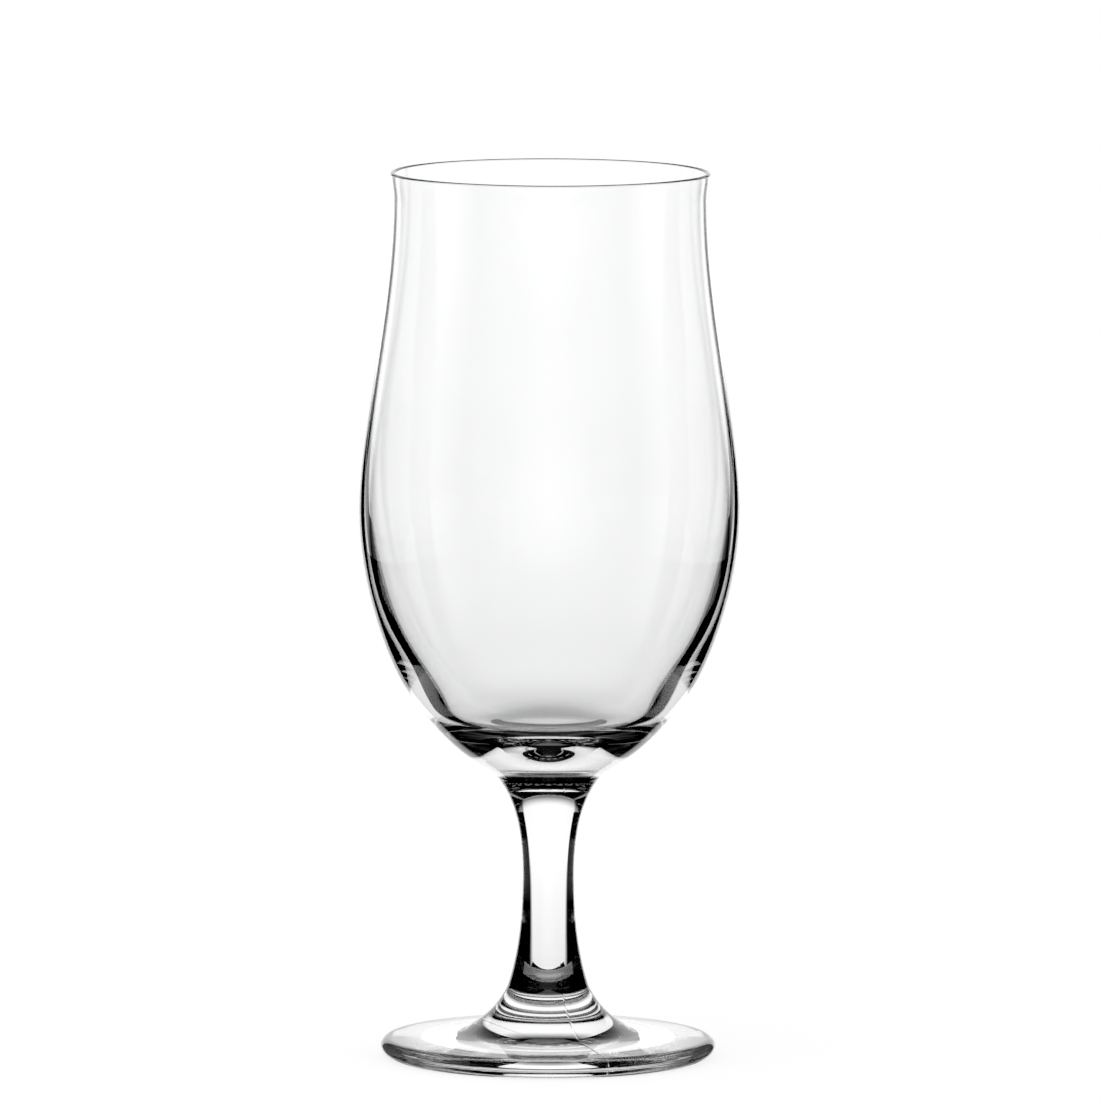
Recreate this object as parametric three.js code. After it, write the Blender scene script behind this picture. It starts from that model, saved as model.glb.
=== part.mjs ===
// A stemmed beer glass of clear glass, in millimetres, standing on the plane z = 0 with its axis on Z.
// It is made of three solids of revolution that are fused face to face: foot, stem and bowl.
// A height inside a piece is measured up from that piece's own lower face.
// A lean is the direction of an outline in degrees: 0 runs outwards, 90 straight up, -90 straight down.
import * as THREE from 'three';

// The joints between the pieces.
const footJointRadius = 9.24;
const bowlJointRadius = 12.16;

// Foot: a disc with a rounded edge, a collar that flares up into the stem and a shallow hollow below.
const footRadius = 38.8;
const footHeight = 16.8;
const footEdgeHeight = 4.6;
const footEdgeBelly = 2.6;
const footEdgeShoulder = 1.9;
const footEdgeUndercut = 3.0;
const restingRingWidth = 3.8;
const footHollowDepth = 1.5;
const footHollowShoulder = 6;
const collarReach = 13.1;
const collarFootRise = 1.3;
const collarTopLean = -67;
const collarFootLean = -6;

// Stem: solid and waisted.
const stemLength = 49;
const stemWaistRadius = 5.94;
const stemWaistHeight = 22.4;
const stemFootLean = 107.5;
const stemTopLean = 50.7;

// Bowl, outside: base, heel, the turn into the flank, belly, shoulder, neck and lip.
const bowlHeight = 140.2;
const bowlJointLean = 35.9;
const baseRadius = 20.2;
const baseHeight = 5.6;
const heelRadius = 26.1;
const heelHeight = 11.2;
const turnRadius = 33.1;
const turnHeight = 20.2;
const flankRadius = 38.62;
const flankHeight = 32.2;
const bellyRadius = 44;
const bellyHeight = 61.8;
const shoulderRadius = 42.42;
const shoulderHeight = 80.2;
const neckRadius = 36.52;
const neckDrop = 6.5;
const lipOuterRadius = 36.96;
const lipRounding = 0.56;

// Bowl, inside: the wall from the neck down, the heel and the shallow dish of the floor.
const neckWall = 1.12;
const shoulderWall = 1.05;
const bellyWall = 1.95;
const bellyInsideRise = 2.4;
const sideInsideRadius = 39.6;
const sideInsideHeight = 47.2;
const flankWall = 4.22;
const heelInsideRadius = 26.35;
const heelInsideHeight = 19.1;
const floorRimRadius = 21;
const floorRimHeight = 13.85;
const floorDishRadius = 12.5;
const floorDishHeight = 11.5;
const floorThickness = 9.7;

// How finely the outlines are turned, and how often the headings along a curve are evened out.
const facetsAround = 60;
const stepsPerCurve = 4;
const settlingSweeps = 40;

// A point that an outline passes through. A lean sets the heading there.
function waypoint(radius, height, lean) {
  const place = new THREE.Vector2(radius, height);
  if (lean === undefined) {
    return { place };
  }
  const angle = THREE.MathUtils.degToRad(lean);
  return { place, heading: new THREE.Vector2(Math.cos(angle), Math.sin(angle)) };
}

// The headings along a row of waypoints. One that isn't set becomes such that the bend changes evenly.
function evenHeadings(places, spans, waypoints) {
  const chords = spans.map((span, i) => places[i + 1].clone().sub(places[i]).divideScalar(span));
  const headings = waypoints.map((point, i) => point.heading ?? chords[i]);
  for (let sweep = 0; sweep < settlingSweeps; sweep += 1) {
    for (let i = 1; i < places.length - 1; i += 1) {
      if (!waypoints[i].heading) {
        const before = spans[i - 1];
        const after = spans[i];
        const pull = new THREE.Vector2();
        pull.addScaledVector(chords[i - 1], 3 * after);
        pull.addScaledVector(chords[i], 3 * before);
        pull.addScaledVector(headings[i - 1], -after);
        pull.addScaledVector(headings[i + 1], -before);
        headings[i] = pull.divideScalar(2 * (before + after));
      }
    }
  }
  return headings;
}

// A smooth curve through a row of waypoints, added to an outline that stands at the first one.
function curveThrough(outline, waypoints) {
  const places = waypoints.map((point) => point.place);
  const spans = places.slice(1).map((place, i) => place.distanceTo(places[i]));
  const headings = evenHeadings(places, spans, waypoints);
  spans.forEach((span, i) => {
    const end = places[i + 1];
    const leave = places[i].clone().addScaledVector(headings[i], span / 3);
    const arrive = end.clone().addScaledVector(headings[i + 1], -span / 3);
    outline.bezierCurveTo(leave.x, leave.y, arrive.x, arrive.y, end.x, end.y);
  });
}

// An outline that starts and ends on the axis, turned about Z into a closed piece.
function turnedPiece(name, outline, baseHeight, material) {
  const geometry = new THREE.LatheGeometry(outline.getPoints(stepsPerCurve), facetsAround);
  geometry.rotateX(Math.PI / 2);
  const piece = new THREE.Mesh(geometry, material);
  piece.name = name;
  piece.position.z = baseHeight;
  return piece;
}

function clearGlass(color) {
  return new THREE.MeshStandardMaterial({
    color,
    roughness: 0.04,
    metalness: 0,
    transparent: true,
    opacity: 0.35,
  });
}

function makeFoot() {
  const restingRadius = footRadius - footEdgeUndercut;
  const hollowRadius = restingRadius - restingRingWidth;
  const edgeTopRadius = footRadius - footEdgeShoulder;
  const outline = new THREE.Path();
  outline.moveTo(0, footHollowDepth);
  outline.bezierCurveTo(
    hollowRadius - 2 * footHollowShoulder, footHollowDepth,
    hollowRadius - footHollowShoulder, 0,
    hollowRadius, 0,
  );
  outline.lineTo(restingRadius, 0);
  curveThrough(outline, [
    waypoint(restingRadius, 0, 0),
    waypoint(footRadius, footEdgeBelly, 90),
    waypoint(edgeTopRadius, footEdgeHeight, 180 + collarFootLean),
  ]);
  const collarFootRadius = footJointRadius + collarReach;
  const collarFootHeight = footEdgeHeight + collarFootRise;
  outline.lineTo(collarFootRadius, collarFootHeight);
  curveThrough(outline, [
    waypoint(collarFootRadius, collarFootHeight, 180 + collarFootLean),
    waypoint(footJointRadius, footHeight, 180 + collarTopLean),
  ]);
  outline.lineTo(0, footHeight);
  return turnedPiece('foot', outline, 0, clearGlass(0xeef3f2));
}

function makeStem() {
  const outline = new THREE.Path();
  outline.moveTo(0, 0);
  outline.lineTo(footJointRadius, 0);
  curveThrough(outline, [
    waypoint(footJointRadius, 0, stemFootLean),
    waypoint(stemWaistRadius, stemWaistHeight),
    waypoint(bowlJointRadius, stemLength, stemTopLean),
  ]);
  outline.lineTo(0, stemLength);
  return turnedPiece('stem', outline, footHeight, clearGlass(0xf0f4f3));
}

function makeBowl() {
  const neckHeight = bowlHeight - neckDrop;
  const lipHeight = bowlHeight - lipRounding;
  const lipMiddleRadius = lipOuterRadius - lipRounding;
  const outline = new THREE.Path();
  outline.moveTo(0, 0);
  outline.lineTo(bowlJointRadius, 0);
  curveThrough(outline, [
    waypoint(bowlJointRadius, 0, bowlJointLean),
    waypoint(baseRadius, baseHeight),
    waypoint(heelRadius, heelHeight),
    waypoint(turnRadius, turnHeight),
    waypoint(flankRadius, flankHeight),
    waypoint(bellyRadius, bellyHeight),
    waypoint(shoulderRadius, shoulderHeight),
    waypoint(neckRadius, neckHeight, 90),
    waypoint(lipOuterRadius, lipHeight, 90),
  ]);
  outline.absarc(lipMiddleRadius, lipHeight, lipRounding, 0, Math.PI, false);
  curveThrough(outline, [
    waypoint(lipMiddleRadius - lipRounding, lipHeight, -90),
    waypoint(neckRadius - neckWall, neckHeight, -90),
    waypoint(shoulderRadius - shoulderWall, shoulderHeight),
    waypoint(bellyRadius - bellyWall, bellyHeight + bellyInsideRise),
    waypoint(sideInsideRadius, sideInsideHeight),
    waypoint(flankRadius - flankWall, flankHeight),
    waypoint(heelInsideRadius, heelInsideHeight),
    waypoint(floorRimRadius, floorRimHeight),
    waypoint(floorDishRadius, floorDishHeight),
    waypoint(0, floorThickness, 180),
  ]);
  return turnedPiece('bowl', outline, footHeight + stemLength, clearGlass(0xf2f6f5));
}

const glass = new THREE.Group();
glass.add(makeFoot(), makeStem(), makeBowl());

export default glass;
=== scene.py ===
import math

import bmesh
import bpy
from mathutils import Matrix, Vector
from mathutils.geometry import interpolate_bezier


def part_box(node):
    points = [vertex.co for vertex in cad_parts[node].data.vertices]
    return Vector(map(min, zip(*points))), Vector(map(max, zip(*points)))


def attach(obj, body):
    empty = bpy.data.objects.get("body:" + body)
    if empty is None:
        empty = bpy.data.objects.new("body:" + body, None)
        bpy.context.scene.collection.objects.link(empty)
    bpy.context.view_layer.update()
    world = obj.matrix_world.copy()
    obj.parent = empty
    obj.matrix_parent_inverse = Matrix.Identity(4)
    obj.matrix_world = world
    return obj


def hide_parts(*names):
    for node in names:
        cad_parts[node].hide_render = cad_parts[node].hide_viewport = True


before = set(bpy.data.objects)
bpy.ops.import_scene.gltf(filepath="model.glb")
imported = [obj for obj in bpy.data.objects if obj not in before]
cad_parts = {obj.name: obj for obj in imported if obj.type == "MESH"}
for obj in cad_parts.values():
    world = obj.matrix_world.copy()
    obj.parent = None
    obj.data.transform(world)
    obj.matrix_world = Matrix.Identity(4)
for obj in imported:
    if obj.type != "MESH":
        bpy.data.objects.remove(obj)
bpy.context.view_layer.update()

# Foot: a pressed disc of clear soda-lime glass with a collar that flares up into the stem. It is slightly
# hollow below and stands on a flat ring near its edge, which table tops have scuffed. The two halves of the
# mould left a fine seam on it, front and back.
MM = 0.001
foot_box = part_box("foot")
foot_radius = foot_box[1].x
foot_top = foot_box[1].z
foot_joint_radius = 9.24 * MM
foot_edge_height = 4.6 * MM
foot_edge_belly = 2.6 * MM
foot_edge_shoulder = 1.9 * MM
foot_edge_undercut = 3.0 * MM
resting_ring_width = 3.8 * MM
foot_hollow_depth = 1.5 * MM
foot_hollow_shoulder = 6 * MM
collar_reach = 13.1 * MM
collar_foot_rise = 1.3 * MM
collar_top_lean = -67
collar_foot_lean = -6
seam_bearing = math.radians(-69)
seam_half_width = 0.14 * MM
seam_height = 0.05 * MM
seam_crowding = 0.49
seam_edge_steps = 20
hollow_steps = 24
edge_steps = 12
disc_steps = 16
collar_steps = 48
pressed_steps_around = 360
settling_sweeps = 40
crease_angle = math.radians(30)
joint_tolerance = 0.001 * MM
glass_index = 1.52
glass_tints = ((0.994, 0.998, 0.997, 1), (0.999, 1.0, 1.0, 1))
haze_scale = 60
haze_roughness = 0.004
scuff_scale = 2500
scuff_roughness = 0.3
scuff_height = 0.1 * MM
pressed_ripple = 0.003 * MM
pressed_ripple_scale = (150, 150, 300)


def waypoint(radius, height, lean=None):
    """A point that an outline passes through. A lean sets its heading: 0 runs outwards, 90 straight up."""
    place = Vector((radius, height))
    if lean is None:
        return place, None
    angle = math.radians(lean)
    return place, Vector((math.cos(angle), math.sin(angle)))


def curve_through(waypoints, steps):
    """A smooth curve through a row of waypoints, as places that leave out the first one. Where no heading is
    set, the curve takes the one with which its bend changes evenly."""
    places = [place for place, heading in waypoints]
    spans = [(end - start).length for start, end in zip(places, places[1:])]
    chords = [(end - start).normalized() for start, end in zip(places, places[1:])]
    headings = [heading or chord for (place, heading), chord in zip(waypoints, chords + chords[-1:])]
    free = [index for index, (place, heading) in enumerate(waypoints) if heading is None]
    for sweep in range(settling_sweeps):
        for index in free:
            before, after = spans[index - 1], spans[index]
            pull = 3 * (after * chords[index - 1] + before * chords[index])
            pull -= after * headings[index - 1] + before * headings[index + 1]
            headings[index] = pull / (2 * (before + after))
    curve = []
    for index, span in enumerate(spans):
        start, end = places[index], places[index + 1]
        leave = start + headings[index] * span / 3
        arrive = end - headings[index + 1] * span / 3
        curve += interpolate_bezier(start, leave, arrive, end, steps + 1)[1:]
    return curve


def straight_to(start, end, steps):
    """A straight stretch of outline, as places that leave out the first one."""
    return [start.lerp(end, step / steps) for step in range(1, steps + 1)]


class Wire:
    """A value in a node tree. Arithmetic on it adds Math nodes, and node() adds any other kind of node."""

    def __init__(self, tree, socket=None):
        self.tree = tree
        self.socket = socket

    def node(self, kind, settings=None, sockets=None):
        """A new node: its settings first, then the value or wire of each socket. Gives its first output."""
        node = self.tree.nodes.new(kind)
        for name, setting in (settings or {}).items():
            setattr(node, name, setting)
        for name, value in (sockets or {}).items():
            if isinstance(value, Wire):
                self.tree.links.new(value.socket, node.inputs[name])
            else:
                node.inputs[name].default_value = value
        shown = [output for output in node.outputs if output.enabled]
        return Wire(self.tree, shown[0] if shown else None)

    def other(self, name):
        """Another output of the node that this value comes from."""
        return Wire(self.tree, self.socket.node.outputs[name])

    def math(self, operation, *values):
        return self.node("ShaderNodeMath", {"operation": operation}, dict(enumerate(values)))

    def __add__(self, value):
        return self.math("ADD", self, value)

    __radd__ = __add__

    def __sub__(self, value):
        return self.math("SUBTRACT", self, value)

    def __rsub__(self, value):
        return self.math("SUBTRACT", value, self)

    def __mul__(self, value):
        return self.math("MULTIPLY", self, value)

    __rmul__ = __mul__

    def __truediv__(self, value):
        return self.math("DIVIDE", self, value)

    def __rtruediv__(self, value):
        return self.math("DIVIDE", value, self)

    def __gt__(self, value):
        return self.math("GREATER_THAN", self, value)

    def __lt__(self, value):
        return self.math("LESS_THAN", self, value)


def node_group(name, inputs):
    """A Geometry Nodes tree with the given named inputs, as the tree and a wire for each input."""
    tree = bpy.data.node_groups.new(name, "GeometryNodeTree")
    tree.interface.new_socket("Geometry", in_out="INPUT", socket_type="NodeSocketGeometry")
    for label, kind in inputs.items():
        tree.interface.new_socket(label, in_out="INPUT", socket_type="NodeSocket" + kind)
    tree.interface.new_socket("Geometry", in_out="OUTPUT", socket_type="NodeSocketGeometry")
    given = Wire(tree).node("NodeGroupInput")
    return tree, {label: given.other(label) for label in ["Geometry", *inputs]}


def turning_tree():
    """Turns a row of outline points about Z, adds the mould seams and sets the faces that are fused.
    Crowding draws the steps around together where the seams are."""
    tree, given = node_group("turned_glass", {
        "Steps around": "Int",
        "Seam bearing": "Float",
        "Seam half width": "Float",
        "Crowding": "Float",
        "Lower joint": "Float",
        "Upper joint": "Float",
        "Glass": "Material",
        "Fused": "Material",
    })
    new = Wire(tree).node
    outline = given["Geometry"]
    rows = new("GeometryNodeAttributeDomainSize", None, {"Geometry": outline})
    columns = given["Steps around"] + 1
    grid = new("GeometryNodeMeshGrid", None, {"Vertices X": rows, "Vertices Y": columns})
    place = new("GeometryNodeInputPosition")
    along = new("ShaderNodeSeparateXYZ", None, {0: place})
    row_place = (along.other("X") + 0.5) * (rows - 1)
    row = row_place.math("ROUND", row_place)
    turn = (along.other("Y") + 0.5) * math.tau

    def on_outline(value):
        return new(
            "GeometryNodeSampleIndex",
            {"data_type": "FLOAT_VECTOR", "domain": "POINT"},
            {"Geometry": outline, "Value": value, "Index": row},
        )

    crowded = turn - given["Crowding"] * turn.math("SINE", turn * 2)
    point = new("ShaderNodeSeparateXYZ", None, {0: on_outline(place)})
    lift = new("GeometryNodeInputNamedAttribute", {"data_type": "FLOAT_VECTOR"}, {"Name": "seam_lift"})
    raised = new("ShaderNodeSeparateXYZ", None, {0: on_outline(lift)})
    from_seam = point.other("X") * crowded.math("SINE", crowded) / given["Seam half width"]
    ridge = 1 / (1 + from_seam * from_seam * from_seam * from_seam)
    radius = point.other("X") + raised.other("X") * ridge
    height = point.other("Z") + raised.other("Z") * ridge
    bearing = given["Seam bearing"] - crowded
    turned = new("ShaderNodeCombineXYZ", None, {
        "X": radius * bearing.math("COSINE", bearing),
        "Y": radius * bearing.math("SINE", bearing),
        "Z": height,
    })
    surface = new("GeometryNodeSetPosition", None, {"Geometry": grid, "Position": turned})
    closed = new("GeometryNodeMergeByDistance", None, {"Geometry": surface, "Distance": joint_tolerance})
    smooth = new(
        "GeometryNodeSetShadeSmooth",
        {"domain": "FACE"},
        {"Geometry": closed, "Shade Smooth": True},
    )
    angle = new("GeometryNodeInputMeshEdgeAngle")
    creased = new(
        "GeometryNodeSetShadeSmooth",
        {"domain": "EDGE"},
        {"Geometry": smooth, "Selection": angle > crease_angle, "Shade Smooth": False},
    )
    clear = new("GeometryNodeSetMaterial", None, {
        "Geometry": new("GeometryNodeRealizeInstances", None, {"Geometry": creased}),
        "Material": given["Glass"],
    })
    level = new("ShaderNodeSeparateXYZ", None, {0: place}).other("Z")
    to_lower = level.math("ABSOLUTE", level - given["Lower joint"])
    to_upper = level.math("ABSOLUTE", level - given["Upper joint"])
    fused = new("GeometryNodeSetMaterial", None, {
        "Geometry": clear,
        "Selection": to_lower.math("MINIMUM", to_lower, to_upper) < joint_tolerance,
        "Material": given["Fused"],
    })
    new("NodeGroupOutput", None, {"Geometry": fused})
    return tree


def made_by(tree, name, mesh, inputs):
    """A plain mesh object that a Geometry Nodes tree makes from a mesh and named inputs."""
    piece = bpy.data.objects.new(name, mesh)
    bpy.context.scene.collection.objects.link(piece)
    modifier = piece.modifiers.new(tree.name, "NODES")
    modifier.node_group = tree
    for item in tree.interface.items_tree:
        if item.name in inputs:
            modifier[item.identifier] = inputs[item.name]
    depsgraph = bpy.context.evaluated_depsgraph_get()
    made = bpy.data.meshes.new_from_object(piece.evaluated_get(depsgraph), depsgraph=depsgraph)
    piece.modifiers.remove(modifier)
    piece.data = made
    return piece


def turned_glass(name, outline, steps_around, glass, joints, seamed=range(0)):
    """A piece of glass turned from its outline, with mould seams over the outline's seamed points."""
    mesh = bpy.data.meshes.new(name + "_outline")
    mesh.from_pydata([(place.x, 0, place.y) for place in outline], [], [])
    lift = mesh.attributes.new("seam_lift", "FLOAT_VECTOR", "POINT")
    for index in seamed:
        run = (outline[index + 1] - outline[index - 1]).normalized()
        lift.data[index].vector = (run.y * seam_height, 0, -run.x * seam_height)
    return made_by(turning, name, mesh, {
        "Steps around": steps_around,
        "Seam bearing": seam_bearing,
        "Seam half width": seam_half_width,
        "Crowding": seam_crowding if seamed else 0.0,
        "Lower joint": joints[0],
        "Upper joint": joints[-1],
        "Glass": glass,
        "Fused": fused_joint,
    })


def new_material(name):
    """A new empty material, as the material and the method that adds nodes to it."""
    material = bpy.data.materials.new(name)
    material.use_nodes = True
    material.node_tree.nodes.clear()
    return material, Wire(material.node_tree).node


def mottled(new, factor, colours):
    """A colour that wanders between two colours."""
    mix = new("ShaderNodeMix", {"data_type": "RGBA"}, {"Factor": factor, 6: colours[0], 7: colours[1]})
    return mix.other(2)


def clear_glass(name, ripple_scale, ripple, worn_below=0.0):
    """Clear glass with a faint ripple that is stretched along the way the piece was worked."""
    material, new = new_material(name)
    place = new("ShaderNodeTexCoord").other("Object")
    worked = new("ShaderNodeMapping", None, {"Vector": place, "Scale": ripple_scale})
    wave = new("ShaderNodeTexNoise", None, {"Vector": worked, "Scale": 1.0, "Detail": 2.0})
    haze = new("ShaderNodeTexNoise", None, {"Vector": place, "Scale": haze_scale, "Detail": 3.0})
    height = new("ShaderNodeSeparateXYZ", None, {0: place}).other("Z")
    scuffs = new("ShaderNodeTexNoise", None, {"Vector": place, "Scale": scuff_scale, "Detail": 4.0})
    scuffed = (height < worn_below) * (scuffs > 0.5)
    glass = new("ShaderNodeBsdfPrincipled", None, {
        "Base Color": mottled(new, haze, glass_tints),
        "Roughness": haze_roughness * haze + scuff_roughness * scuffed,
        "Normal": new("ShaderNodeBump", None, {"Strength": 1.0, "Distance": ripple, "Height": wave}),
        "Transmission Weight": 1.0,
        "IOR": glass_index,
    })
    new("ShaderNodeOutputMaterial", None, {"Surface": glass})
    return material


def unseen_joint():
    """The faces on which two pieces are fused: the glass runs on through them, so nothing shows."""
    material, new = new_material("fused_joint")
    unseen = new("ShaderNodeBsdfPrincipled", None, {"Alpha": 0.0})
    new("ShaderNodeOutputMaterial", None, {"Surface": unseen})
    return material


turning = turning_tree()
fused_joint = unseen_joint()

resting_radius = foot_radius - foot_edge_undercut
hollow_radius = resting_radius - resting_ring_width
foot_edge = waypoint(foot_radius, foot_edge_belly, 90)
foot_edge_top = waypoint(foot_radius - foot_edge_shoulder, foot_edge_height, 180 + collar_foot_lean)
collar_foot_height = foot_edge_height + collar_foot_rise
collar_foot = waypoint(foot_joint_radius + collar_reach, collar_foot_height, 180 + collar_foot_lean)
collar_top = waypoint(foot_joint_radius, foot_top, 180 + collar_top_lean)
foot_outline = [Vector((0, foot_hollow_depth))]
foot_outline += interpolate_bezier(
    foot_outline[0],
    Vector((hollow_radius - 2 * foot_hollow_shoulder, foot_hollow_depth)),
    Vector((hollow_radius - foot_hollow_shoulder, 0)),
    Vector((hollow_radius, 0)),
    hollow_steps + 1,
)[1:]
foot_outline.append(Vector((resting_radius, 0)))
foot_outline += curve_through([waypoint(resting_radius, 0, 0), foot_edge, foot_edge_top], edge_steps)
seam_start = len(foot_outline) - seam_edge_steps
foot_outline += straight_to(foot_edge_top[0], collar_foot[0], disc_steps)
foot_outline += curve_through([collar_foot, collar_top], collar_steps)
foot_seam = range(seam_start, len(foot_outline) - 1)
foot_outline.append(Vector((0, foot_top)))

foot = turned_glass(
    "pressed_foot",
    foot_outline,
    pressed_steps_around,
    clear_glass("pressed_glass", pressed_ripple_scale, pressed_ripple, scuff_height),
    [foot_top],
    foot_seam,
)
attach(foot, "root")
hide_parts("foot")

# Stem: a solid waisted stem of the same clear glass, drawn out hot and pressed in a mould of two halves. The
# mould's fine seams run on from those of the foot. It is fused hot to the foot below and to the bowl above.
stem_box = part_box("stem")
stem_foot = stem_box[0].z
stem_top = stem_box[1].z
bowl_joint_radius = stem_box[1].x
stem_waist_radius = 5.94 * MM
stem_waist_height = 22.4 * MM
stem_foot_lean = 107.5
stem_top_lean = 50.7
stem_steps = 40
drawn_ripple = 0.002 * MM
drawn_ripple_scale = (250, 250, 40)

stem_outline = [Vector((0, stem_foot)), Vector((foot_joint_radius, stem_foot))]
stem_outline += curve_through([
    waypoint(foot_joint_radius, stem_foot, stem_foot_lean),
    waypoint(stem_waist_radius, stem_foot + stem_waist_height),
    waypoint(bowl_joint_radius, stem_top, stem_top_lean),
], stem_steps)
stem_seam = range(2, len(stem_outline) - 1)
stem_outline.append(Vector((0, stem_top)))

stem = turned_glass(
    "drawn_stem",
    stem_outline,
    pressed_steps_around,
    clear_glass("drawn_glass", drawn_ripple_scale, drawn_ripple),
    [stem_foot, stem_top],
    stem_seam,
)
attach(stem, "root")
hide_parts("stem")

# Bowl: a blown tulip of clear glass with a thin wall, a thick heel and floor, and a lip that a flame has
# melted to a smooth bead. It is fused hot to the stem below.
bowl_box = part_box("bowl")
bowl_foot = bowl_box[0].z
belly_radius = bowl_box[1].x
bowl_joint_lean = 35.9
base_radius = 20.2 * MM
base_height = bowl_foot + 5.6 * MM
heel_radius = 26.1 * MM
heel_height = bowl_foot + 11.2 * MM
turn_radius = 33.1 * MM
turn_height = bowl_foot + 20.2 * MM
flank_radius = 38.62 * MM
flank_height = bowl_foot + 32.2 * MM
belly_height = bowl_foot + 61.8 * MM
shoulder_radius = 42.42 * MM
shoulder_height = bowl_foot + 80.2 * MM
neck_radius = 36.52 * MM
neck_height = bowl_box[1].z - 6.5 * MM
lip_outer_radius = 36.96 * MM
lip_rounding = 0.56 * MM
neck_wall = 1.12 * MM
shoulder_wall = 1.05 * MM
belly_wall = 1.95 * MM
belly_inside_rise = 2.4 * MM
side_inside_radius = 39.6 * MM
side_inside_height = bowl_foot + 47.2 * MM
flank_wall = 4.22 * MM
heel_inside_radius = 26.35 * MM
heel_inside_height = bowl_foot + 19.1 * MM
floor_rim_radius = 21.0 * MM
floor_rim_height = bowl_foot + 13.85 * MM
floor_dish_radius = 12.5 * MM
floor_dish_height = bowl_foot + 11.5 * MM
floor_height = bowl_foot + 9.7 * MM
bowl_steps = 24
lip_steps = 16
bowl_steps_around = 232
blown_ripple = 0.002 * MM
blown_ripple_scale = (20, 20, 90)

lip_height = bowl_box[1].z - lip_rounding
lip_middle = Vector((lip_outer_radius - lip_rounding, lip_height))
bowl_outline = [Vector((0, bowl_foot)), Vector((bowl_joint_radius, bowl_foot))]
bowl_outline += curve_through([
    waypoint(bowl_joint_radius, bowl_foot, bowl_joint_lean),
    waypoint(base_radius, base_height),
    waypoint(heel_radius, heel_height),
    waypoint(turn_radius, turn_height),
    waypoint(flank_radius, flank_height),
    waypoint(belly_radius, belly_height),
    waypoint(shoulder_radius, shoulder_height),
    waypoint(neck_radius, neck_height, 90),
    waypoint(lip_outer_radius, lip_height, 90),
], bowl_steps)
for step in range(1, lip_steps + 1):
    angle = math.pi * step / lip_steps
    bowl_outline.append(lip_middle + lip_rounding * Vector((math.cos(angle), math.sin(angle))))
bowl_outline += curve_through([
    waypoint(lip_middle.x - lip_rounding, lip_height, -90),
    waypoint(neck_radius - neck_wall, neck_height, -90),
    waypoint(shoulder_radius - shoulder_wall, shoulder_height),
    waypoint(belly_radius - belly_wall, belly_height + belly_inside_rise),
    waypoint(side_inside_radius, side_inside_height),
    waypoint(flank_radius - flank_wall, flank_height),
    waypoint(heel_inside_radius, heel_inside_height),
    waypoint(floor_rim_radius, floor_rim_height),
    waypoint(floor_dish_radius, floor_dish_height),
    waypoint(0, floor_height, 180),
], bowl_steps)

bowl = turned_glass(
    "blown_bowl",
    bowl_outline,
    bowl_steps_around,
    clear_glass("blown_glass", blown_ripple_scale, blown_ripple),
    [bowl_foot],
)
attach(bowl, "root")
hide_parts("bowl")

# Joint bubbles: strings of tiny air bubbles that were caught between stem and bowl when the two were fused
# hot. They lie in two rings in the joint and show white through the heel, with a faint painted glow.
bubble_rings = {5.5 * MM: 16, 7.0 * MM: 36}
string_thickness = 0.12 * MM
string_share = 0.6
# Painted glow: emission strength of the froth, standing in for the light that the bubbles catch in the
# glass.
froth_painted_glow = 0.3
string_segments = 12
string_rings = 8
froth_whites = ((0.75, 0.77, 0.77, 1), (0.95, 0.96, 0.96, 1))
froth_scale = 4000
froth_roughness = 0.7
froth_roughness_spread = 0.2


def bubble_tree():
    """Lays short strings of bubbles, stretched from a ball one unit wide, round a circle in the joint."""
    tree, given = node_group("joint_bubbles", {
        "Radius": "Float",
        "Strings": "Int",
        "String size": "Vector",
        "Height": "Float",
        "Froth": "Material",
    })
    new = Wire(tree).node
    ring = new(
        "GeometryNodeCurvePrimitiveCircle",
        {"mode": "RADIUS"},
        {"Resolution": given["Strings"], "Radius": given["Radius"]},
    )
    along = new("GeometryNodeInputTangent")
    facing = new("FunctionNodeAlignRotationToVector", {"axis": "X"}, {"Vector": along})
    ball = new(
        "GeometryNodeMeshUVSphere",
        None,
        {"Segments": string_segments, "Rings": string_rings, "Radius": 0.5},
    )
    strings = new("GeometryNodeInstanceOnPoints", None, {
        "Points": ring,
        "Instance": ball,
        "Rotation": facing,
        "Scale": given["String size"],
    })
    lift = new("ShaderNodeCombineXYZ", None, {"Z": given["Height"]})
    laid = new("GeometryNodeTransform", None, {"Geometry": strings, "Translation": lift})
    frothy = new("GeometryNodeSetMaterial", None, {
        "Geometry": new("GeometryNodeRealizeInstances", None, {"Geometry": laid}),
        "Material": given["Froth"],
    })
    new("NodeGroupOutput", None, {"Geometry": frothy})
    return tree


def white_froth():
    """Fine bubbles so close together that they look white, with a faint painted glow in place of the light
    that they gather in the glass.
    """
    material, new = new_material("white_froth")
    place = new("ShaderNodeTexCoord").other("Object")
    grain = new("ShaderNodeTexNoise", None, {"Vector": place, "Scale": froth_scale, "Detail": 3.0})
    white = mottled(new, grain, froth_whites)
    froth = new("ShaderNodeBsdfPrincipled", None, {
        "Base Color": white,
        "Roughness": froth_roughness + froth_roughness_spread * grain,
        # Painted light: the froth emits its own white, so it glows though it is no lamp.
        "Emission Color": white,
        "Emission Strength": froth_painted_glow,
    })
    new("ShaderNodeOutputMaterial", None, {"Surface": froth})
    return material


bubbling = bubble_tree()
froth = white_froth()
for number, (ring_radius, strings) in enumerate(bubble_rings.items(), 1):
    string_length = string_share * math.tau * ring_radius / strings
    ring = made_by(bubbling, f"joint_bubbles_{number}", bpy.data.meshes.new("joint_bubbles"), {
        "Radius": ring_radius,
        "Strings": strings,
        "String size": (string_length, 2 * string_thickness, string_thickness),
        "Height": bowl_foot,
        "Froth": froth,
    })
    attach(ring, "root")

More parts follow.
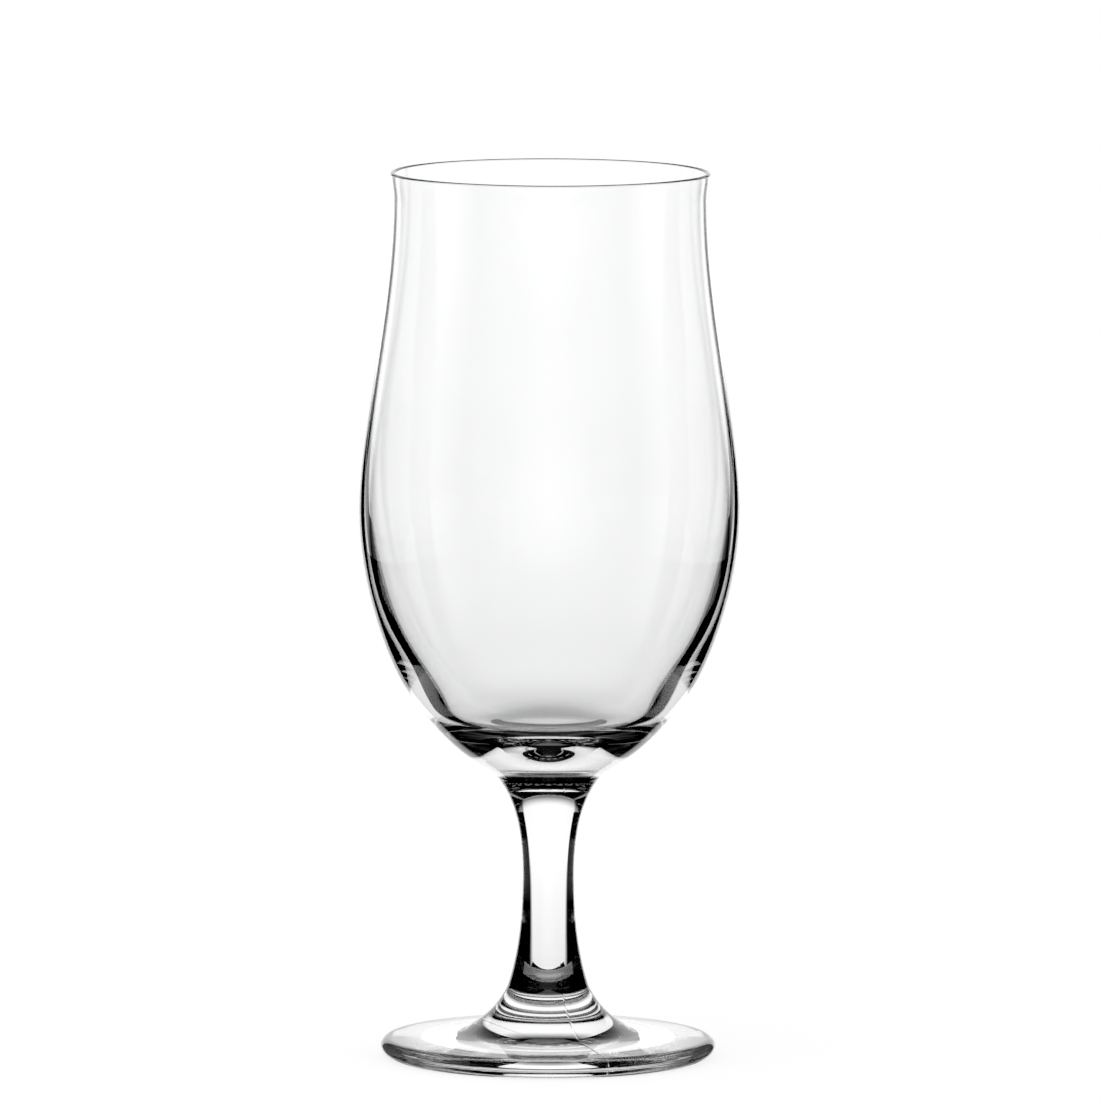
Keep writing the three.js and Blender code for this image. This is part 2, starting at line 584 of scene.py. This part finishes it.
# Floor and room: a wide white table under one soft overhead lamp, in a white room. Table and lamp don't show
# in the glass, which still throws its soft shadow on the table.
table_reach = 60
table_white = 0.95
table_glow = 0.85
room_light = 1.06
lamp_size = 1.0
lamp_place = (-0.3, -0.3, 1.5)
lamp_power = 4


def looked_at(new):
    """1 for what is seen by the camera, whether straight, through glass or mirrored in it."""
    path = new("ShaderNodeLightPath")
    in_glass = path.math("MAXIMUM", path.other("Is Glossy Ray"), path.other("Is Transmission Ray"))
    return path.math("MAXIMUM", path.other("Is Camera Ray"), in_glass)


def white_table():
    """White card that glows white where it is looked at and still takes the glass's soft shadow."""
    material, new = new_material("white_table")
    matt = new("ShaderNodeBsdfDiffuse", None, {"Color": (table_white, table_white, table_white, 1)})
    glow = new("ShaderNodeEmission", None, {"Strength": 1.0})
    card = new("ShaderNodeMixShader", None, {0: table_glow * looked_at(new), 1: matt, 2: glow})
    new("ShaderNodeOutputMaterial", None, {"Surface": card})
    return material


def stage_object(name, corners, faces, material):
    """A thing of the set, which isn't part of the glass."""
    mesh = bpy.data.meshes.new(name)
    mesh.from_pydata(corners, [], faces)
    mesh.materials.append(material)
    thing = bpy.data.objects.new(name, mesh)
    bpy.context.scene.collection.objects.link(thing)
    return thing


table_corners = [(x * table_reach, y * table_reach, 0) for x, y in ((-1, -1), (1, -1), (1, 1), (-1, 1))]
table = stage_object("floor", table_corners, [(0, 1, 2, 3)], white_table())
table.visible_glossy = False
table.visible_transmission = False

world = bpy.data.worlds.new("room")
bpy.context.scene.world = world
world.use_nodes = True
world.node_tree.nodes.clear()
new = Wire(world.node_tree).node
soft = new("ShaderNodeBackground", None, {"Color": (room_light, room_light, room_light, 1)})
white = new("ShaderNodeBackground", None, {"Color": (1, 1, 1, 1)})
room = new("ShaderNodeMixShader", None, {0: looked_at(new), 1: soft, 2: white})
new("ShaderNodeOutputWorld", None, {"Surface": room})

lamp_data = bpy.data.lights.new("soft_lamp", "AREA")
lamp_data.size = lamp_size
lamp_data.energy = lamp_power
lamp = bpy.data.objects.new("soft_lamp", lamp_data)
lamp.location = lamp_place
lamp.visible_glossy = False
lamp.visible_transmission = False
bpy.context.scene.collection.objects.link(lamp)

# Camera: far off and a little above the glass, with a long lens, as for a product shot. It is rolled by a
# sixth of a degree, as on a tripod that stands a little out of level.
camera_distance = 3.39
camera_height = 0.5016
aim_height = 0.1182
aim_side = 0.16 * MM
camera_roll = math.radians(0.16)
film_width = 36
lens_length = 482.5
farthest_seen = 200

camera_data = bpy.data.cameras.new("camera")
camera_data.sensor_width = film_width
camera_data.lens = lens_length
camera_data.clip_end = farthest_seen
camera = bpy.data.objects.new("camera", camera_data)
camera.location = (0, -camera_distance, camera_height)
looking = Vector((aim_side, 0, aim_height)) - camera.location
upright = looking.to_track_quat("-Z", "Y").to_matrix()
camera.rotation_euler = (upright @ Matrix.Rotation(camera_roll, 3, "Z")).to_euler()
bpy.context.scene.collection.objects.link(camera)
bpy.context.scene.camera = camera

# Light tent: what only the glass sees, turned with the camera. A bright soft box stands behind, narrower
# towards the table, with a dim window on either hand. Black cards draw the dark edges: low ones for foot,
# stem and heel, high ones close to the wall, paler towards the lip, and a flat one below for the joint.
tent_radius = 2.0
tent_segments = 48
tent_rings = 32
box_bearing = -1
box_edge = 3
box_levels = {
    -60: 0.06, -45: 0.12, -39: 0.25, -35: 0.7, -31: 0.87, -14: 1.02, -5: 1.1, 20: 1.1, 28: 0.6, 40: 0.0,
}
box_half_widths = {-45: 14, -33: 21, -26: 25, -20: 28, -14: 32, -5: 38, 5: 41}
room_levels = {-24: 0.0, -12: 0.65, 15: 0.7, 32: 0.0}
room_bearings = {40: 0.0, 47: 1.0, 100: 1.0, 125: 0.15, 180: 0.5}
low_card_distance = 82 * MM
low_card_front = -160 * MM
low_card_foot = -60 * MM
low_card_top = 105 * MM
low_card_foot_back = 122 * MM
low_card_top_back = 108 * MM
high_card_distance = 60 * MM
high_card_foot_front = 19 * MM
high_card_foot_back = 41 * MM
high_card_bend = 134 * MM
high_card_bend_back = 57 * MM
high_card_top = 225 * MM
high_card_top_front = 44 * MM
high_card_top_back = 68 * MM
high_card_shades = {150 * MM: 0.0, 175 * MM: 0.06, 200 * MM: 0.32}
flat_card_height = -80 * MM
flat_card_front = 165 * MM
flat_card_back = 216 * MM
flat_card_half_width = 80 * MM
straight_up = 90
half_turn = 180
light_bounces = 32
mirror_bounces = 16


def ramp(new, value, low, high, stops):
    """A colour ramp over the value from low to high, with a grey at each stop."""
    node = new("ShaderNodeValToRGB", None, {"Fac": (value - low) / (high - low)})
    elements = node.socket.node.color_ramp.elements
    for place, grey in stops.items():
        element = elements.new((place - low) / (high - low))
        element.color = (grey, grey, grey, 1)
    elements.remove(elements[0])
    elements.remove(elements[len(elements) - 1])
    return node


def tent_cloth():
    """Glowing cloth, whose light depends on the bearing off the view and on the rise, both in degrees."""
    material, new = new_material("tent_cloth")
    place = new("ShaderNodeTexCoord").other("Object")
    toward = new("ShaderNodeVectorMath", {"operation": "NORMALIZE"}, {0: place})
    axes = new("ShaderNodeSeparateXYZ", None, {0: toward})
    x, y, z = (axes.other(axis) for axis in "XYZ")
    bearing = x.math("ARCTAN2", x, y) * math.degrees(1)
    rise = z.math("ARCSINE", z) * math.degrees(1)

    def at_rise(stops):
        return ramp(new, rise, -straight_up, straight_up, stops)

    off_box = bearing.math("ABSOLUTE", bearing - box_bearing)
    width_shares = {level: width / straight_up for level, width in box_half_widths.items()}
    past_edge = straight_up * at_rise(width_shares) - off_box
    in_box = new("ShaderNodeClamp", None, {"Value": 0.5 + past_edge / (2 * box_edge)})
    in_room = ramp(new, bearing.math("ABSOLUTE", bearing), 0, half_turn, room_bearings)
    light = in_box * at_rise(box_levels) + in_room * at_rise(room_levels)
    shade = new("ShaderNodeCombineColor", None, {"Red": light, "Green": light, "Blue": light})
    cloth = new("ShaderNodeEmission", None, {"Color": shade, "Strength": 1.0})
    new("ShaderNodeOutputMaterial", None, {"Surface": cloth})
    return material


def shaded_card():
    """Black card that is paler towards its top."""
    material, new = new_material("shaded_card")
    place = new("ShaderNodeTexCoord").other("Object")
    height = new("ShaderNodeSeparateXYZ", None, {0: place}).other("Z")
    shade = ramp(new, height, low_card_foot, high_card_top, high_card_shades)
    card = new("ShaderNodeEmission", None, {"Color": shade, "Strength": 1.0})
    new("ShaderNodeOutputMaterial", None, {"Surface": card})
    return material


def only_for_glass(thing):
    """Shows a thing to nothing but the glass, and lets it go round with the camera."""
    thing.visible_camera = False
    thing.visible_diffuse = False
    thing.visible_shadow = False
    thing.visible_volume_scatter = False
    thing.parent = camera
    thing.matrix_parent_inverse = camera.matrix_world.inverted()


bpy.context.view_layer.update()
sphere = bmesh.new()
bmesh.ops.create_uvsphere(sphere, u_segments=tent_segments, v_segments=tent_rings, radius=tent_radius)
tent = stage_object("light_tent", [], [], tent_cloth())
sphere.to_mesh(tent.data)
sphere.free()
tent.location = (0, 0, aim_height)
only_for_glass(tent)

card_paper = shaded_card()
low_card = [
    (low_card_front, low_card_foot),
    (low_card_foot_back, low_card_foot),
    (low_card_top_back, low_card_top),
    (low_card_front, low_card_top),
]
high_card = [
    (high_card_foot_front, low_card_top),
    (high_card_foot_back, low_card_top),
    (high_card_bend_back, high_card_bend),
    (high_card_top_back, high_card_top),
    (high_card_top_front, high_card_top),
]
for side_name, side in (("left", -1), ("right", 1)):
    for card_name, distance, outline in (
        ("low_card", low_card_distance, low_card),
        ("high_card", high_card_distance, high_card),
    ):
        corners = [(side * distance, y, z) for y, z in outline]
        face = range(len(corners))
        only_for_glass(stage_object(f"{card_name}_{side_name}", corners, [face], card_paper))

flat_card = [
    (-flat_card_half_width, flat_card_front, flat_card_height),
    (flat_card_half_width, flat_card_front, flat_card_height),
    (flat_card_half_width, flat_card_back, flat_card_height),
    (-flat_card_half_width, flat_card_back, flat_card_height),
]
only_for_glass(stage_object("flat_card", flat_card, [(0, 1, 2, 3)], card_paper))

scene = bpy.context.scene
scene.view_settings.view_transform = "Standard"
scene.cycles.max_bounces = light_bounces
scene.cycles.transmission_bounces = light_bounces
scene.cycles.glossy_bounces = mirror_bounces
scene.cycles.transparent_max_bounces = light_bounces
